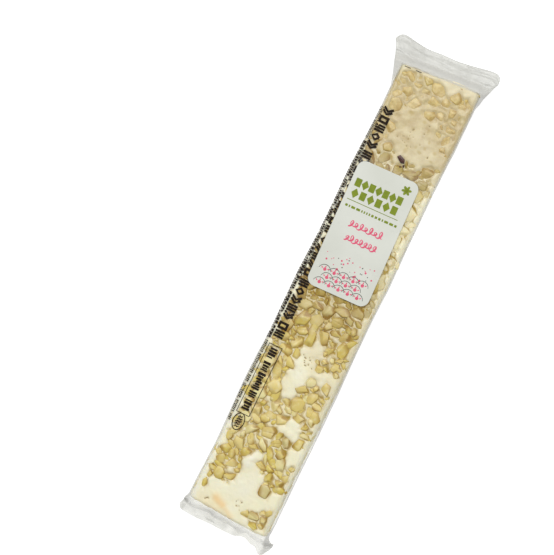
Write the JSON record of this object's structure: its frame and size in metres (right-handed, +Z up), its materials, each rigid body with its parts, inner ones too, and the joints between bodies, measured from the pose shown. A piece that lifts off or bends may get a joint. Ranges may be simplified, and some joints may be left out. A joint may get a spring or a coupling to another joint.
{
  "type": "nougat bar",
  "caption": "Long cream nougat slab set with chopped almonds, sealed in tight clear film with a flat fin at each end and a blank rounded paper label.",
  "frame": {"origin": "on the surface the bar lies on, under the middle of the whole pack", "axes": "+X across the bar, +Y along it towards the head end with the wide fin, +Z up, out of the label"},
  "size_m": [0.0414, 0.198, 0.013],
  "materials": {
    "nougat": "soft cream nougat, slightly waxy, seen through clear film",
    "almond": "blanched almond, pale beige with browner cut edges",
    "film": "thin clear glossy polypropylene film",
    "label_paper": "smooth white coated paper",
    "print_dark": "near-black film printing ink",
    "print_green": "olive green ink on paper",
    "print_pink": "rose pink ink on paper"
  },
  "bodies": {
    "root": {"wrapped_bar": "nougat", "label": "label_paper"}
  },
  "joints": []
}
